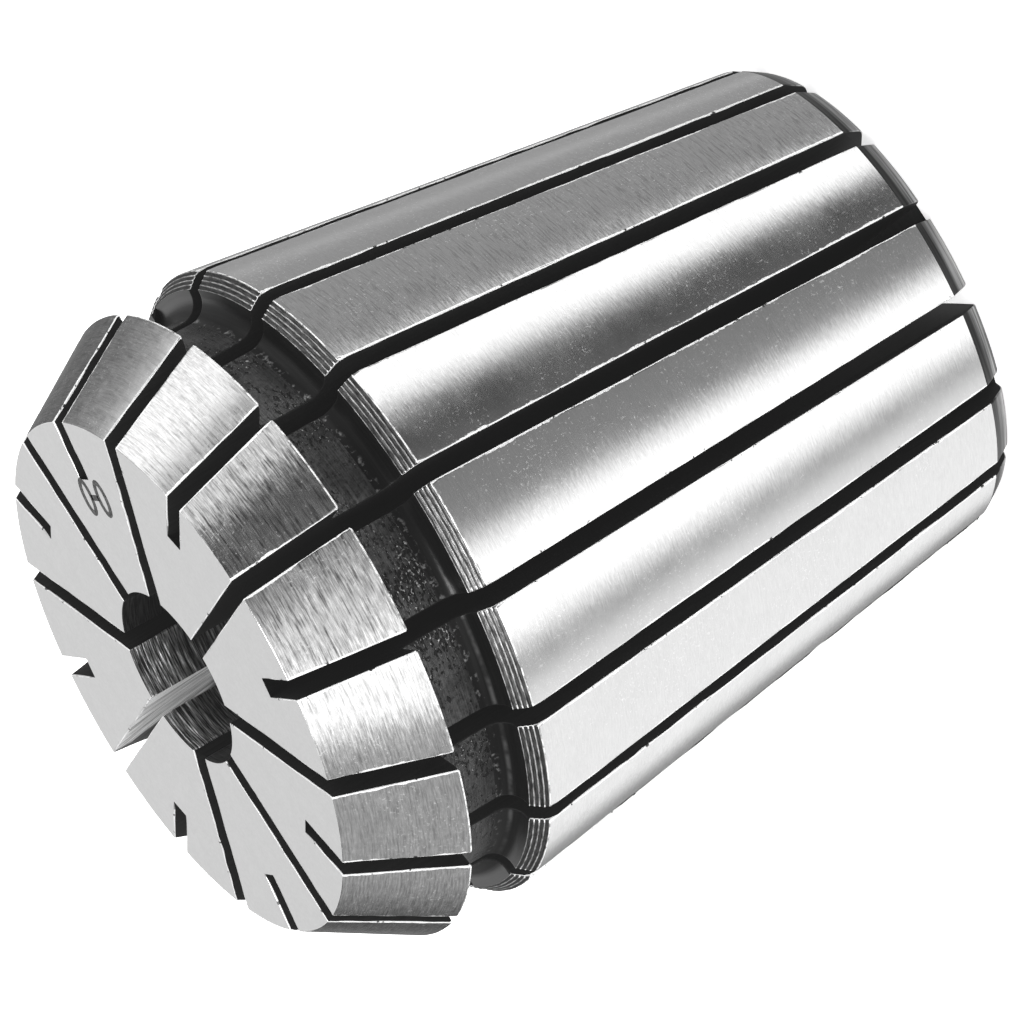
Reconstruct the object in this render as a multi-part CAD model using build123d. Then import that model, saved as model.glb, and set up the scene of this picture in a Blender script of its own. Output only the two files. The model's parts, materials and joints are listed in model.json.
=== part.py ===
from build123d import *
import math
import os

# One-piece slotted spring collet with a collet length of 40 mm and a body of 33 mm.
# Millimetres. The axis is Z, the rear face lies at Z = 0 and the nose face points up.

# Body
collet_length = 40.0
body_diameter = 33.0
taper_half_angle = 8.0

# Turned band between the groove and the widest ring of the body
band_length = 0.77
band_height = 0.63

# Rear end: chamfer beside the axis, then a rounded rear edge
rear_chamfer_length = 1.15
rear_chamfer_angle = 30.0
rear_edge_radius = 0.5

# Nose cone in front of the groove
nose_length = 5.25
nose_diameter = 33.0
nose_half_angle = 30.0
nose_back_edge_radius = 0.12
face_edge_break = 0.1

# Closing-nut groove, with a large fillet at the body's side
groove_width = 3.65
groove_floor_diameter = 29.2
groove_fillet_radius = 1.0

# Bore
bore_diameter = 9.0
bore_front_break = 0.15
bore_rear_chamfer = 0.5

# Saw slots: half of them come in from the nose, the other half from the rear
slot_pairs = 8
slot_width = 1.0
saw_radius = 20.0
saw_overcut = 1.0
saw_run_out = 1.0
nose_web_diameter = 20.9
rear_web_diameter = 22.2

# Heights along the axis
z_nose_back = collet_length - nose_length
z_shoulder = z_nose_back - groove_width
z_widest = z_shoulder - band_length

# Radii
r_body = body_diameter / 2
r_shoulder = r_body - band_height
r_floor = groove_floor_diameter / 2
r_nose = nose_diameter / 2
r_bore = bore_diameter / 2
r_saw_center = r_bore - saw_overcut + saw_radius
r_face = r_nose - nose_length * math.tan(math.radians(nose_half_angle))
r_taper_end = r_body - (z_widest - rear_chamfer_length) * math.tan(math.radians(taper_half_angle))
r_rear = r_taper_end - rear_chamfer_length * math.tan(math.radians(rear_chamfer_angle))


def on_circle(center, radius, angle):
    """Point on a circle in the profile plane, with the angle in degrees from the radial direction."""
    a = math.radians(angle)
    return (center[0] + radius * math.cos(a), center[1] + radius * math.sin(a))


def rounded_rear_edge():
    """Arc between the rear chamfer and the rear face: its start, middle and end."""
    reach = rear_edge_radius * math.tan(math.radians((90 - rear_chamfer_angle) / 2))
    center = (r_rear - reach, rear_edge_radius)
    middle_angle = -(rear_chamfer_angle + 90) / 2
    start = on_circle(center, rear_edge_radius, -rear_chamfer_angle)
    middle = on_circle(center, rear_edge_radius, middle_angle)
    end = (center[0], 0)
    return start, middle, end


def rounded_nose_back():
    """Arc between the back wall of the nose and its cone: its start, middle and end."""
    slope = math.radians(nose_half_angle)
    radius = nose_back_edge_radius
    center_r = r_nose - radius * math.tan(slope) - radius / math.cos(slope)
    center = (center_r, z_nose_back + radius)
    start = (center_r, z_nose_back)
    middle = on_circle(center, radius, (nose_half_angle - 90) / 2)
    end = on_circle(center, radius, nose_half_angle)
    return start, middle, end


def body_of_revolution():
    """Outer profile and bore turned about the axis."""
    rear_start, rear_middle, rear_end = rounded_rear_edge()
    nose_start, nose_middle, nose_end = rounded_nose_back()
    fillet_start = (r_floor + groove_fillet_radius, z_shoulder)
    fillet_end = (r_floor, z_shoulder + groove_fillet_radius)
    fillet_center = (r_floor + groove_fillet_radius, z_shoulder + groove_fillet_radius)
    fillet_middle = on_circle(fillet_center, groove_fillet_radius, -135)
    slope = math.radians(nose_half_angle)
    rim_low = (
        r_face + face_edge_break * math.sin(slope),
        collet_length - face_edge_break * math.cos(slope),
    )
    rim_high = (r_face - face_edge_break, collet_length)
    with BuildPart() as turned:
        with BuildSketch(Plane.XZ):
            with BuildLine():
                Line((r_bore + bore_rear_chamfer, 0), rear_end)
                ThreePointArc(rear_end, rear_middle, rear_start)
                Line(rear_start, (r_taper_end, rear_chamfer_length))
                Line((r_taper_end, rear_chamfer_length), (r_body, z_widest))
                Line((r_body, z_widest), (r_shoulder, z_shoulder))
                Line((r_shoulder, z_shoulder), fillet_start)
                ThreePointArc(fillet_start, fillet_middle, fillet_end)
                Line(fillet_end, (r_floor, z_nose_back))
                Line((r_floor, z_nose_back), nose_start)
                ThreePointArc(nose_start, nose_middle, nose_end)
                Line(nose_end, rim_low)
                Line(rim_low, rim_high)
                Line(rim_high, (r_bore + bore_front_break, collet_length))
                Line((r_bore + bore_front_break, collet_length), (r_bore, collet_length - bore_front_break))
                Line((r_bore, collet_length - bore_front_break), (r_bore, bore_rear_chamfer))
                Line((r_bore, bore_rear_chamfer), (r_bore + bore_rear_chamfer, 0))
            make_face()
        revolve(axis=Axis.Z)
    return turned.part


def saw_cut(web_radius, from_nose):
    """Path of a round saw that runs in along the axis and stops where it leaves a web at the far end."""
    reach = math.sqrt(saw_radius**2 - (r_saw_center - web_radius) ** 2)
    if from_nose:
        z_center = reach
        z_open = collet_length + saw_run_out
    else:
        z_center = collet_length - reach
        z_open = -saw_run_out
    with BuildPart() as cut:
        with BuildSketch(Plane.XZ):
            with Locations((r_saw_center, z_center)):
                Circle(saw_radius)
            with Locations((r_saw_center - saw_radius / 2, (z_center + z_open) / 2)):
                Rectangle(saw_radius, abs(z_open - z_center))
        extrude(amount=slot_width / 2, both=True)
    return cut.part


collet = body_of_revolution()
nose_cut = saw_cut(rear_web_diameter / 2, True)
rear_cut = saw_cut(nose_web_diameter / 2, False)
step_angle = 360 / (2 * slot_pairs)
cuts = []
for index in range(slot_pairs):
    cuts.append(Rot(0, 0, 2 * index * step_angle) * nose_cut)
    cuts.append(Rot(0, 0, (2 * index + 1) * step_angle) * rear_cut)
collet = collet - cuts

os.makedirs("parts", exist_ok=True)
solid = collet.solids()[0]
solid.label = "collet"
export_step(solid, "parts/collet.step")
print("solids", len(collet.solids()), "faces", len(solid.faces()), "volume", round(solid.volume, 1))
print("box", solid.bounding_box().min, solid.bounding_box().max)
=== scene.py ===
# %% [markdown]
# A spring collet is one piece of hardened steel that is turned, ground and then sawn into sixteen lands.
# Its looks come from the finishes that lie side by side on it: ground cone and taper, satin nose face,
# ridged band, blackened groove and dark saw slots. The packed model gives the frame for all of them.

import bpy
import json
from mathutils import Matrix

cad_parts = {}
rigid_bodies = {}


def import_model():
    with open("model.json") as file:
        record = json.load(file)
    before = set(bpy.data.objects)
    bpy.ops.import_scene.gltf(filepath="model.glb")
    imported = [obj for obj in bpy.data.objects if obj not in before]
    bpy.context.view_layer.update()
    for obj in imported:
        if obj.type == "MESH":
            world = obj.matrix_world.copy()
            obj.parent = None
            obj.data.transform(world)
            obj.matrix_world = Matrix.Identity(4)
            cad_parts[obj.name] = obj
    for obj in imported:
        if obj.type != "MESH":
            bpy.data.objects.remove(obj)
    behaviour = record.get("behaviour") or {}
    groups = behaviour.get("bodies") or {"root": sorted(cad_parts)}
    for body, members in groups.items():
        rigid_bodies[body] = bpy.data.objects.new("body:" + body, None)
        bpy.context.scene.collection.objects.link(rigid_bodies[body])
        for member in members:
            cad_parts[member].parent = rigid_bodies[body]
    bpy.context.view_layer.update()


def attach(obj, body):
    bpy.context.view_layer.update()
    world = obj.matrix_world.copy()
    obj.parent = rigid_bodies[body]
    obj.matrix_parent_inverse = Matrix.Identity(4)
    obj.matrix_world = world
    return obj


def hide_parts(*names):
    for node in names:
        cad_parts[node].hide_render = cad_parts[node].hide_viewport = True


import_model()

# %% Helpers of the whole script
import json
import math

import bmesh
import bpy
import numpy as np
from mathutils import Matrix, Vector

MM = 0.001
SCENE = bpy.context.scene
SCENE.view_settings.view_transform = "Standard"
print("lengths below are millimetres; meshes are scaled by", MM)

# %% [markdown]
# The camera comes first, because every finish is judged through it. The photograph was taken from far
# away with a long lens, so the lands hardly get smaller towards the rear. The camera stands 21 degrees
# above the horizon and is rolled by 120 degrees, which lays the upright collet down across the picture.

# %% Camera
CAMERA_AZIMUTH = -98.99
CAMERA_ELEVATION = 21.14
CAMERA_ROLL = 119.54
CAMERA_DISTANCE = 521.7
CAMERA_LENS = 386.5
CAMERA_SENSOR = 36
CAMERA_TARGET = (-0.90, 0.57, 21.09)
NEAREST_SEEN = 50
FARTHEST_SEEN = 8000


def make_camera():
    """Camera on a sphere round its target: azimuth and elevation place it, roll turns it about its axis."""
    azimuth = math.radians(CAMERA_AZIMUTH)
    elevation = math.radians(CAMERA_ELEVATION)
    level = math.cos(elevation)
    back = Vector((math.cos(azimuth) * level, math.sin(azimuth) * level, math.sin(elevation)))
    data = bpy.data.cameras.new("camera")
    data.lens = CAMERA_LENS
    data.sensor_width = CAMERA_SENSOR
    data.clip_start = NEAREST_SEEN * MM
    data.clip_end = FARTHEST_SEEN * MM
    camera = bpy.data.objects.new("camera", data)
    SCENE.collection.objects.link(camera)
    upright = (-back).to_track_quat("-Z", "Y").to_matrix()
    rolled = upright @ Matrix.Rotation(-math.radians(CAMERA_ROLL), 3, "Z")
    place = Vector(CAMERA_TARGET) * MM + back * CAMERA_DISTANCE * MM
    camera.matrix_world = Matrix.Translation(place) @ rolled.to_4x4()
    SCENE.camera = camera
    return camera


camera = make_camera()
print("camera at", [round(v / MM, 1) for v in camera.matrix_world.translation])

# %% [markdown]
# The collet's surface is a profile carried round the axis and cut by the slots. Booleans could cut them,
# but they leave long thin faces that shade badly, so every point is worked out here instead. The profile
# is a closed loop in the plane of radius and height.

# %% Sizes
LENGTH = 40.0
BODY_R = 16.5
TAPER_HALF_ANGLE = 8
NOSE_R = 16.5
NOSE_LENGTH = 5.25
NOSE_HALF_ANGLE = 30
GROOVE_FLOOR_R = 14.6
GROOVE_WIDTH = 3.65
GROOVE_FILLET = 1.0
BAND_LENGTH = 0.77
BAND_HEIGHT = 0.63
BORE_R = 4.5
BORE_FRONT_BREAK = 0.03
BORE_REAR_CHAMFER = 0.5
REAR_CHAMFER = 1.15
REAR_CHAMFER_ANGLE = 30
MARK_HEIGHT = 0.012


def slope(half_angle):
    """Radius lost per millimetre of height on a cone: the tangent of its half-angle."""
    return math.tan(math.radians(half_angle))


FACE_Z = LENGTH - MARK_HEIGHT
NOSE_BACK_Z = LENGTH - NOSE_LENGTH
SHOULDER_Z = NOSE_BACK_Z - GROOVE_WIDTH
WIDEST_Z = SHOULDER_Z - BAND_LENGTH
SHOULDER_R = BODY_R - BAND_HEIGHT
FACE_R = NOSE_R - NOSE_LENGTH * slope(NOSE_HALF_ANGLE)
TAPER_END_R = BODY_R - (WIDEST_Z - REAR_CHAMFER) * slope(TAPER_HALF_ANGLE)
REAR_R = TAPER_END_R - REAR_CHAMFER * slope(REAR_CHAMFER_ANGLE)
print("nose face radius", round(FACE_R, 2), "and rear radius", round(REAR_R, 2))

# %% [markdown]
# Each slot was cut by a round saw that came in along the axis. Half of the slots are open at the nose and
# stop before the rear, the others are open at the rear and stop before the nose. The saw's round edge
# leaves a web there, so every slot ends in an arc that runs from the end face to the bore.

# %% Saw slots
LANDS = 16
STEP = 2 * math.pi / LANDS
SLOT_HALF = 0.5
SAW_R = 20.0
SAW_OVERCUT = 1.0
SAW_CENTER_R = BORE_R - SAW_OVERCUT + SAW_R
NOSE_WEB_R = 10.45
REAR_WEB_R = 11.1


def saw_height(x):
    """Height of a circle's edge above its centre at the distance x from the collet's axis."""
    return np.sqrt(SAW_R**2 - (SAW_CENTER_R - x) ** 2)


NOSE_SAW_Z = FACE_Z - saw_height(NOSE_WEB_R)
REAR_SAW_Z = saw_height(REAR_WEB_R)


def web_edge(x, at_nose):
    """Height of a slot's end at the distance x: the upper edge of one saw or the lower edge of the other."""
    return NOSE_SAW_Z + saw_height(x) if at_nose else REAR_SAW_Z - saw_height(x)


BORE_X = math.sqrt(BORE_R**2 - SLOT_HALF**2)
NOSE_WEB_Z = float(web_edge(BORE_X, True))
REAR_WEB_Z = float(web_edge(BORE_X, False))
print("in the bore the webs reach from", round(NOSE_WEB_Z, 2), "up and from", round(REAR_WEB_Z, 2), "down")

# %% [markdown]
# The profile is put together from stretches: straight ones, rounded corners and the small hollows that a
# pointed lathe tool leaves. Every edge that a stone or a hand has broken gets a true small arc, because
# that is what catches the light on steel. A sharp edge would render as a line of no width.

# %% Stretches of a profile


def straight(start, end, spacing, margin=0.0):
    """Evenly spaced points from start to end, with an extra point at the margin from each end."""
    start, end = np.array(start, float), np.array(end, float)
    length = np.linalg.norm(end - start)
    steps = max(1, round((length - 2 * margin) / spacing))
    along = np.linspace(margin, length - margin, steps + 1)
    if margin > 0:
        along = np.concatenate([[0], along, [length]])
    return start + (end - start) * (along / length)[:, None]


def rounded(before, corner, after, radius, steps=6):
    """Arc that touches both sides of a corner: its centre lies on the corner's bisector."""
    corner = np.array(corner, float)
    sides = np.array([before, after], float) - corner
    sides /= np.linalg.norm(sides, axis=1, keepdims=True)
    half = math.acos(float(sides[0] @ sides[1])) / 2
    middle = sides.sum(axis=0) / np.linalg.norm(sides.sum(axis=0))
    center = corner + middle * radius / math.sin(half)
    spokes = corner + sides * radius / math.tan(half) - center
    first, last = np.arctan2(spokes[:, 1], spokes[:, 0])
    turn = (last - first + math.pi) % (2 * math.pi) - math.pi
    angles = first + turn * np.linspace(0, 1, steps + 1)
    return center + radius * np.stack([np.cos(angles), np.sin(angles)], axis=1)


def scalloped(start, end, count, depth, steps):
    """Marks of a pointed lathe tool: count hollows in a row, each a parabola of that depth."""
    start, end = np.array(start, float), np.array(end, float)
    along = end - start
    outward = np.array([-along[1], along[0]]) / np.linalg.norm(along)
    t = np.linspace(0, 1, count * steps + 1)
    within = (t * count) % 1
    return start + t[:, None] * along - (4 * within * (1 - within) * depth)[:, None] * outward


def chain(stretches):
    """Joins named stretches into one polyline, and gives for each step the stretch that it belongs to."""
    points = [stretches[0][1][:1]]
    owners = []
    for name, stretch in stretches:
        stretch = stretch[1:] if np.allclose(stretch[0], points[-1][-1]) else stretch
        points.append(stretch)
        owners += [name] * len(stretch)
    return np.concatenate(points), owners


print("a rounded corner has", len(rounded((0, 1), (0, 0), (1, 0), 0.2)), "points")

# %% [markdown]
# The profile runs from the nose face outwards, down the cone, through the groove and along the taper to
# the rear face, and comes back up the bore. It is a closed loop in four parts: the outside, the rear web,
# the open bore and the nose web. Where a web stands, the surface goes on across the slot.

# %% Corners of the profile
RIM_ROUND = 0.06
NOSE_BACK_ROUND = 0.07
FLOOR_FRONT_ROUND = 0.1
WIDEST_ROUND = 0.07
TAPER_END_ROUND = 0.2
REAR_EDGE_ROUND = 0.5

web_start = (math.hypot(NOSE_WEB_R, SLOT_HALF), FACE_Z)
face_rim = (FACE_R + MARK_HEIGHT * slope(NOSE_HALF_ANGLE), FACE_Z)
nose_back = (NOSE_R, NOSE_BACK_Z)
floor_front = (GROOVE_FLOOR_R, NOSE_BACK_Z)
floor_rear = (GROOVE_FLOOR_R, SHOULDER_Z)
shoulder = (SHOULDER_R, SHOULDER_Z)
widest = (BODY_R, WIDEST_Z)
taper_end = (TAPER_END_R, REAR_CHAMFER)
rear_rim = (REAR_R, 0)
web_end = (math.hypot(REAR_WEB_R, SLOT_HALF), 0)
rear_lip = (BORE_R + BORE_REAR_CHAMFER, 0)
bore_rear = (BORE_R, BORE_REAR_CHAMFER)
bore_front = (BORE_R, FACE_Z - BORE_FRONT_BREAK)
front_lip = (BORE_R + BORE_FRONT_BREAK, FACE_Z)

rim_arc = rounded(web_start, face_rim, nose_back, RIM_ROUND)
nose_arc = rounded(face_rim, nose_back, floor_front, NOSE_BACK_ROUND)
front_arc = rounded(nose_back, floor_front, floor_rear, FLOOR_FRONT_ROUND)
fillet = rounded(floor_front, floor_rear, shoulder, GROOVE_FILLET, steps=10)
widest_arc = rounded(shoulder, widest, taper_end, WIDEST_ROUND, steps=4)
taper_arc = rounded(widest, taper_end, rear_rim, TAPER_END_ROUND, steps=4)
rear_arc = rounded(taper_end, rear_rim, web_end, REAR_EDGE_ROUND, steps=8)
print("the widest ring turns through", len(widest_arc), "points")

# %% Whole profile
BAND_RIDGES = 4
RIDGE_DEPTH = 0.028
BAND_STEPS = 8
BAND_CREST_STEPS = 2

outside, outside_owner = chain([
    ("face", straight(web_start, rim_arc[0], 0.35, 0.03)),
    ("cone", rim_arc),
    ("cone", straight(rim_arc[-1], nose_arc[0], 0.25, 0.05)),
    ("edge", nose_arc),
    ("groove", straight(nose_arc[-1], front_arc[0], 0.4, 0.03)),
    ("groove", front_arc),
    ("groove", straight(front_arc[-1], fillet[0], 0.3, 0.03)),
    ("fillet", fillet),
    ("fillet", straight(fillet[-1], shoulder, 0.2, 0.02)),
    ("band", scalloped(shoulder, widest_arc[0], BAND_RIDGES, RIDGE_DEPTH, BAND_STEPS)),
    ("edge", widest_arc),
    ("taper", straight(widest_arc[-1], taper_arc[0], 0.45, 0.05)),
    ("rear_chamfer", taper_arc),
    ("rear_chamfer", straight(taper_arc[-1], rear_arc[0], 0.2, 0.03)),
    ("rear_chamfer", rear_arc),
    ("rear_face", straight(rear_arc[-1], web_end, 0.3, 0.03)),
])
rear_web, rear_web_owner = chain([
    ("rear_face", straight(web_end, rear_lip, 0.6)),
    ("bore", straight(rear_lip, bore_rear, 0.3)),
    ("bore", straight(bore_rear, (BORE_R, REAR_WEB_Z), 0.9)),
])
open_bore, open_bore_owner = chain([("bore", straight((BORE_R, REAR_WEB_Z), (BORE_R, NOSE_WEB_Z), 1.0))])
nose_web, nose_web_owner = chain([
    ("bore", straight((BORE_R, NOSE_WEB_Z), bore_front, 0.5)),
    ("slot", straight(bore_front, front_lip, 0.1)),
    ("face", straight(front_lip, web_start, 0.4, 0.03)),
])
loop = np.concatenate([outside[:-1], rear_web[:-1], open_bore[:-1], nose_web])
owner = outside_owner + rear_web_owner + open_bore_owner + nose_web_owner
band_rows = np.flatnonzero(np.array(owner) == "band")
for row in band_rows[(np.arange(len(band_rows)) + 1) % BAND_STEPS < BAND_CREST_STEPS]:
    owner[row] = "crest"
rear_web_first = len(outside) - 1
rear_web_last = rear_web_first + len(rear_web) - 1
nose_web_first = rear_web_last + len(open_bore) - 1
travel = np.concatenate([[0], np.cumsum(np.linalg.norm(np.diff(loop, axis=0), axis=1))])


def start_of(stretch):
    """Distance along the profile at which a stretch of the outside begins."""
    return float(travel[outside_owner.index(stretch)])


print("profile has", len(owner), "steps over", round(float(travel[-1]), 1), "mm")
print("the taper begins after", round(start_of("taper"), 2), "mm")

# %% [markdown]
# The slots' edges were broken by hand, so a thin bright line of uneven width runs along each of them.
# A constant chamfer would look like a machine's work. Here every edge has its own wandering width, made
# of random knots joined by cosine steps, and the edge is a small quarter circle of that width. The
# corners at the cone's back edge and at the widest ring have lost a little more than the rest.

# %% Deburred edges
random = np.random.default_rng(32)
EDGE_MIN = 0.02
EDGE_MAX = 0.1
SHORT_WAVE = 0.8
LONG_WAVE = 4.0
LONG_SHARE = 0.55
WEB_FADE = 0.5
CORNER_REACH = 0.18
CORNER_WEAR = 0.1


def wander(pitch, count):
    """Smooth random line from 0 to 1 per edge: knots at an even pitch along the profile, cosine in between.
    The last knot repeats the first, so the line closes where the profile does."""
    cells = round(travel[-1] / pitch)
    knots = random.random((count, cells))
    knots = np.concatenate([knots, knots[:, :1], knots[:, 1:2]], axis=1)
    place = travel / travel[-1] * cells
    cell = place.astype(int)
    blend = (1 - np.cos(np.pi * (place - cell))) / 2
    return knots[:, cell] * (1 - blend) + knots[:, cell + 1] * blend


def away_from_web(first, last):
    """0 on the rows where a web stands. It rises to 1 along the profile over the fade beside the web."""
    total = travel[-1]
    before = (travel[first] - travel) % total
    after = (travel - travel[last]) % total
    inside = (travel >= travel[first]) & (travel <= travel[last])
    near = np.minimum(before, after) / WEB_FADE
    return np.where(inside, 0, np.clip(near, 0, 1))


def corner_wear():
    """Extra width near the two outer rings: a bell curve of the distance along the profile."""
    rings = np.array([start_of("groove"), start_of("taper")])
    near = (travel[:, None] - rings) / CORNER_REACH
    return CORNER_WEAR * np.exp(-near**2).max(axis=1)


def edge_widths():
    """Width of each land's broken edge: short waves whose height follows a long wave, plus the wear."""
    short = wander(SHORT_WAVE, LANDS)
    long = wander(LONG_WAVE, LANDS)
    width = EDGE_MIN + (EDGE_MAX - EDGE_MIN) * short * (1 - LONG_SHARE + LONG_SHARE * long)
    return width + corner_wear()


even_width = edge_widths()
odd_width = edge_widths()
even_depth = even_width * away_from_web(rear_web_first, rear_web_last)
odd_depth = odd_width * away_from_web(nose_web_first, len(loop) - 1)
print("edges are", round(float(even_width.mean()), 3), "mm wide on average")

# %% [markdown]
# A land is a grid: its rows follow the profile and its columns run from one slot to the next. The outer
# columns on each side make the broken edge. The distance from the slot is kept with every point, and the
# finishes fray the bright line by it.

# %% Columns beside a slot
EDGE_ANGLES = np.radians([0, 30, 60, 90])
EDGE_MARGIN = 0.06
FAR = 1.0


def loop_normals():
    """Outward normals of the closed profile: the mean of the two neighbouring steps, turned left."""
    step = np.diff(loop, axis=0)
    step /= np.linalg.norm(step, axis=1, keepdims=True)
    mean = step + np.roll(step, 1, axis=0)
    mean = np.concatenate([mean, mean[:1]])
    mean /= np.linalg.norm(mean, axis=1, keepdims=True)
    return np.stack([-mean[:, 1], mean[:, 0]], axis=1)


def edge_columns(width, depth):
    """Angle, radius, height and distance from the slot's wall of the columns beside a slot. The distance
    is the width times one minus the cosine, and the columns sink under the surface by the depth times one
    minus the sine. One more column lies on the surface at the margin. Beside a web all count as far."""
    normal = loop_normals()
    rim = width[..., None] * (1 - np.cos(EDGE_ANGLES))
    rim = np.concatenate([rim, rim[..., -1:] + EDGE_MARGIN], axis=-1)
    sink = depth[..., None] * (1 - np.sin(EDGE_ANGLES))
    sink = np.concatenate([sink, 0 * sink[..., :1]], axis=-1)
    radius = loop[:, 0, None] - sink * normal[:, 0, None]
    height = loop[:, 1, None] - sink * normal[:, 1, None]
    open_slot = (depth / width)[..., None]
    return np.arcsin((SLOT_HALF + rim) / radius), radius, height, FAR + (rim - FAR) * open_slot


even = edge_columns(even_width, even_depth)
odd = edge_columns(odd_width, odd_depth)
print("columns beside a slot:", even[0].shape[-1])

# %% [markdown]
# All sixteen lands are computed at once. Each land has one slot that is open at the nose and one that is
# open at the rear, so every second land is a mirror image of the first.

# %% Grids of the lands
INNER_STEPS = 7

land = np.arange(LANDS)
land_side = np.where(land % 2 == 0, 1, -1)
even_angle = STEP * np.where(land % 2 == 0, land, land + 1)
odd_angle = STEP * np.where(land % 2 == 0, land + 1, land)
share = np.arange(1, INNER_STEPS) / INNER_STEPS
inner_from = even[0][..., -1:]
inner_to = STEP - odd[0][..., -1:]
inner_angle = inner_from + (inner_to - inner_from) * share
inner_radius = np.broadcast_to(loop[:, 0, None], inner_angle.shape)
inner_height = np.broadcast_to(loop[:, 1, None], inner_angle.shape)
inner_rim = np.full(inner_angle.shape, FAR)
turn = np.concatenate([even[0], inner_angle, STEP - odd[0][..., ::-1]], axis=-1)
radius = np.concatenate([even[1], inner_radius, odd[1][..., ::-1]], axis=-1)
height = np.concatenate([even[2], inner_height, odd[2][..., ::-1]], axis=-1)
rim = np.concatenate([even[3], inner_rim, odd[3][..., ::-1]], axis=-1)
print("lands, rows and columns:", turn.shape)

# %% [markdown]
# Surfaces are kept as patches until all are there. The UV map of a land follows the tool: its first
# coordinate is the length round the collet and its second one the travel along the profile, both in
# millimetres. The first is shifted from land to land, so that no two lands show the same marks.

# %% Patches
PATTERN_SHIFT = 9.0
patches = []


def add_patch(points, uv, finishes, rim=0.0, outline=False):
    """Keeps sixteen grids or outlines for the mesh. Finishes names one finish, or gives one per cell of a
    grid, or one per outline. Rim is the distance from the slot's wall."""
    patches.append((points, uv, finishes, np.broadcast_to(rim, points.shape[:-1]), outline))


def slot_frame(x, t, z, angle, side):
    """Places distances from the axis and from a slot's middle plane: the slot's direction times x plus
    the crosswise direction times t, for all lands at once."""
    cos, sin = np.cos(angle)[:, None, None], np.sin(angle)[:, None, None]
    x, across, z = np.broadcast_arrays(x, t * side[:, None, None], z)
    return np.stack([x * cos - across * sin, x * sin + across * cos, z], axis=-1)


world_angle = even_angle[:, None, None] + land_side[:, None, None] * turn
land_points = np.stack([radius * np.cos(world_angle), radius * np.sin(world_angle), height], axis=-1)
arc_length = turn * radius + PATTERN_SHIFT * land[:, None, None]
land_uv = np.stack([arc_length, np.broadcast_to(travel[:, None], arc_length.shape)], axis=-1)
columns = turn.shape[2] - 1
cell_finish = np.repeat(np.array(owner)[:, None], columns, axis=1)
black_steel = np.isin(cell_finish, ["groove", "fillet"])
outer_cells = np.minimum(np.arange(columns), columns - 1 - np.arange(columns)) < len(EDGE_ANGLES) - 1
cell_finish = np.where(black_steel & outer_cells, "slot", cell_finish)
add_patch(land_points, land_uv, cell_finish, rim)
print("cells on the lands:", cell_finish.size * LANDS)

# %% [markdown]
# What is left are the slots' insides. Each web has its arc-shaped end and the strips of face and bore in
# front of the slot. A land makes only half of each web, because its neighbour is its mirror image.

# %% Webs
WEB_STEPS = 20
half_slot = np.array([0, 0.5, 1]) * SLOT_HALF


def web_arc(t, web_r, at_nose):
    """Rows along a slot's arc-shaped end, from the end face to the bore, at the distances t crosswise."""
    share = np.linspace(0, 1, WEB_STEPS + 1)[:, None]
    x = web_r + (np.sqrt(BORE_R**2 - t**2) - web_r) * share
    return x, np.broadcast_to(t, x.shape), web_edge(x, at_nose)


def web_strip(first, last, web_r, at_nose):
    """Face and bore in front of a web: the profile's rows first to last, drawn in to the slot's middle.
    The end row lies on the straight edge at the face, and the one in the bore on the saw's arc."""
    rho = loop[first:last + 1, 0, None]
    x = np.sqrt(rho**2 - half_slot**2)
    z = np.broadcast_to(loop[first:last + 1, 1, None], x.shape).copy()
    face_row, bore_row = (-1, 0) if at_nose else (0, -1)
    x[face_row] = web_r
    z[bore_row] = web_edge(x[bore_row], at_nose)
    return x, np.broadcast_to(half_slot, x.shape), z


def add_web(first, last, web_r, at_nose, angle, side):
    """Both surfaces of half a web on every land."""
    x, t, z = web_strip(first, last, web_r, at_nose)
    uv = np.stack([t, np.broadcast_to(travel[first:last + 1, None], t.shape)], axis=-1)
    names = np.repeat(np.array(owner[first:last])[:, None], len(half_slot) - 1, axis=1)
    points = slot_frame(x[None], t[None], z[None], angle, side)
    add_patch(points, np.broadcast_to(uv, (LANDS,) + uv.shape), names, rim=FAR)
    x, t, z = web_arc(half_slot, web_r, at_nose)
    uv = np.stack([t, z], axis=-1)
    points = slot_frame(x[None], t[None], z[None], angle, side)
    add_patch(points, np.broadcast_to(uv, (LANDS,) + uv.shape), "slot")


add_web(rear_web_first, rear_web_last, REAR_WEB_R, False, even_angle, land_side)
add_web(nose_web_first, len(loop) - 1, NOSE_WEB_R, True, odd_angle, -land_side)
print("the arc of a web has", WEB_STEPS, "steps")

# %% [markdown]
# Each land has two flat walls. A grid would gain nothing on a plane, so a wall is one face with many
# corners: the outline of the land's own profile, closed by the saw's arc. One wall, which the camera sees
# across the bore, gets painted light: a light grey and a glow.

# %% Slot walls
# The land whose wall across the bore gets painted light.
PAINTED_LIT_LAND = 3


def add_wall(columns, gap_first, gap_last, web_r, at_nose, angle, side, finishes):
    """Flat wall of every land: the edge column's outline with the saw's arc in place of the web's rows."""
    rho, z = columns[1][..., 0], columns[2][..., 0]
    x = np.sqrt(rho**2 - SLOT_HALF**2)
    arc_x, _, arc_z = web_arc(np.array([SLOT_HALF]), web_r, at_nose)
    if at_nose:
        arc_x, arc_z = arc_x[::-1], arc_z[::-1]
    arc_x = np.broadcast_to(arc_x[1:-1, 0], (LANDS, WEB_STEPS - 1))
    arc_z = np.broadcast_to(arc_z[1:-1, 0], (LANDS, WEB_STEPS - 1))
    outline_x = np.concatenate([x[:, :gap_first + 1], arc_x, x[:, gap_last:-1]], axis=1)
    outline_z = np.concatenate([z[:, :gap_first + 1], arc_z, z[:, gap_last:-1]], axis=1)
    points = slot_frame(outline_x[..., None], SLOT_HALF, outline_z[..., None], angle, side)
    add_patch(points[:, :, 0], np.stack([outline_z, outline_x], axis=-1), finishes, outline=True)


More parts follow.
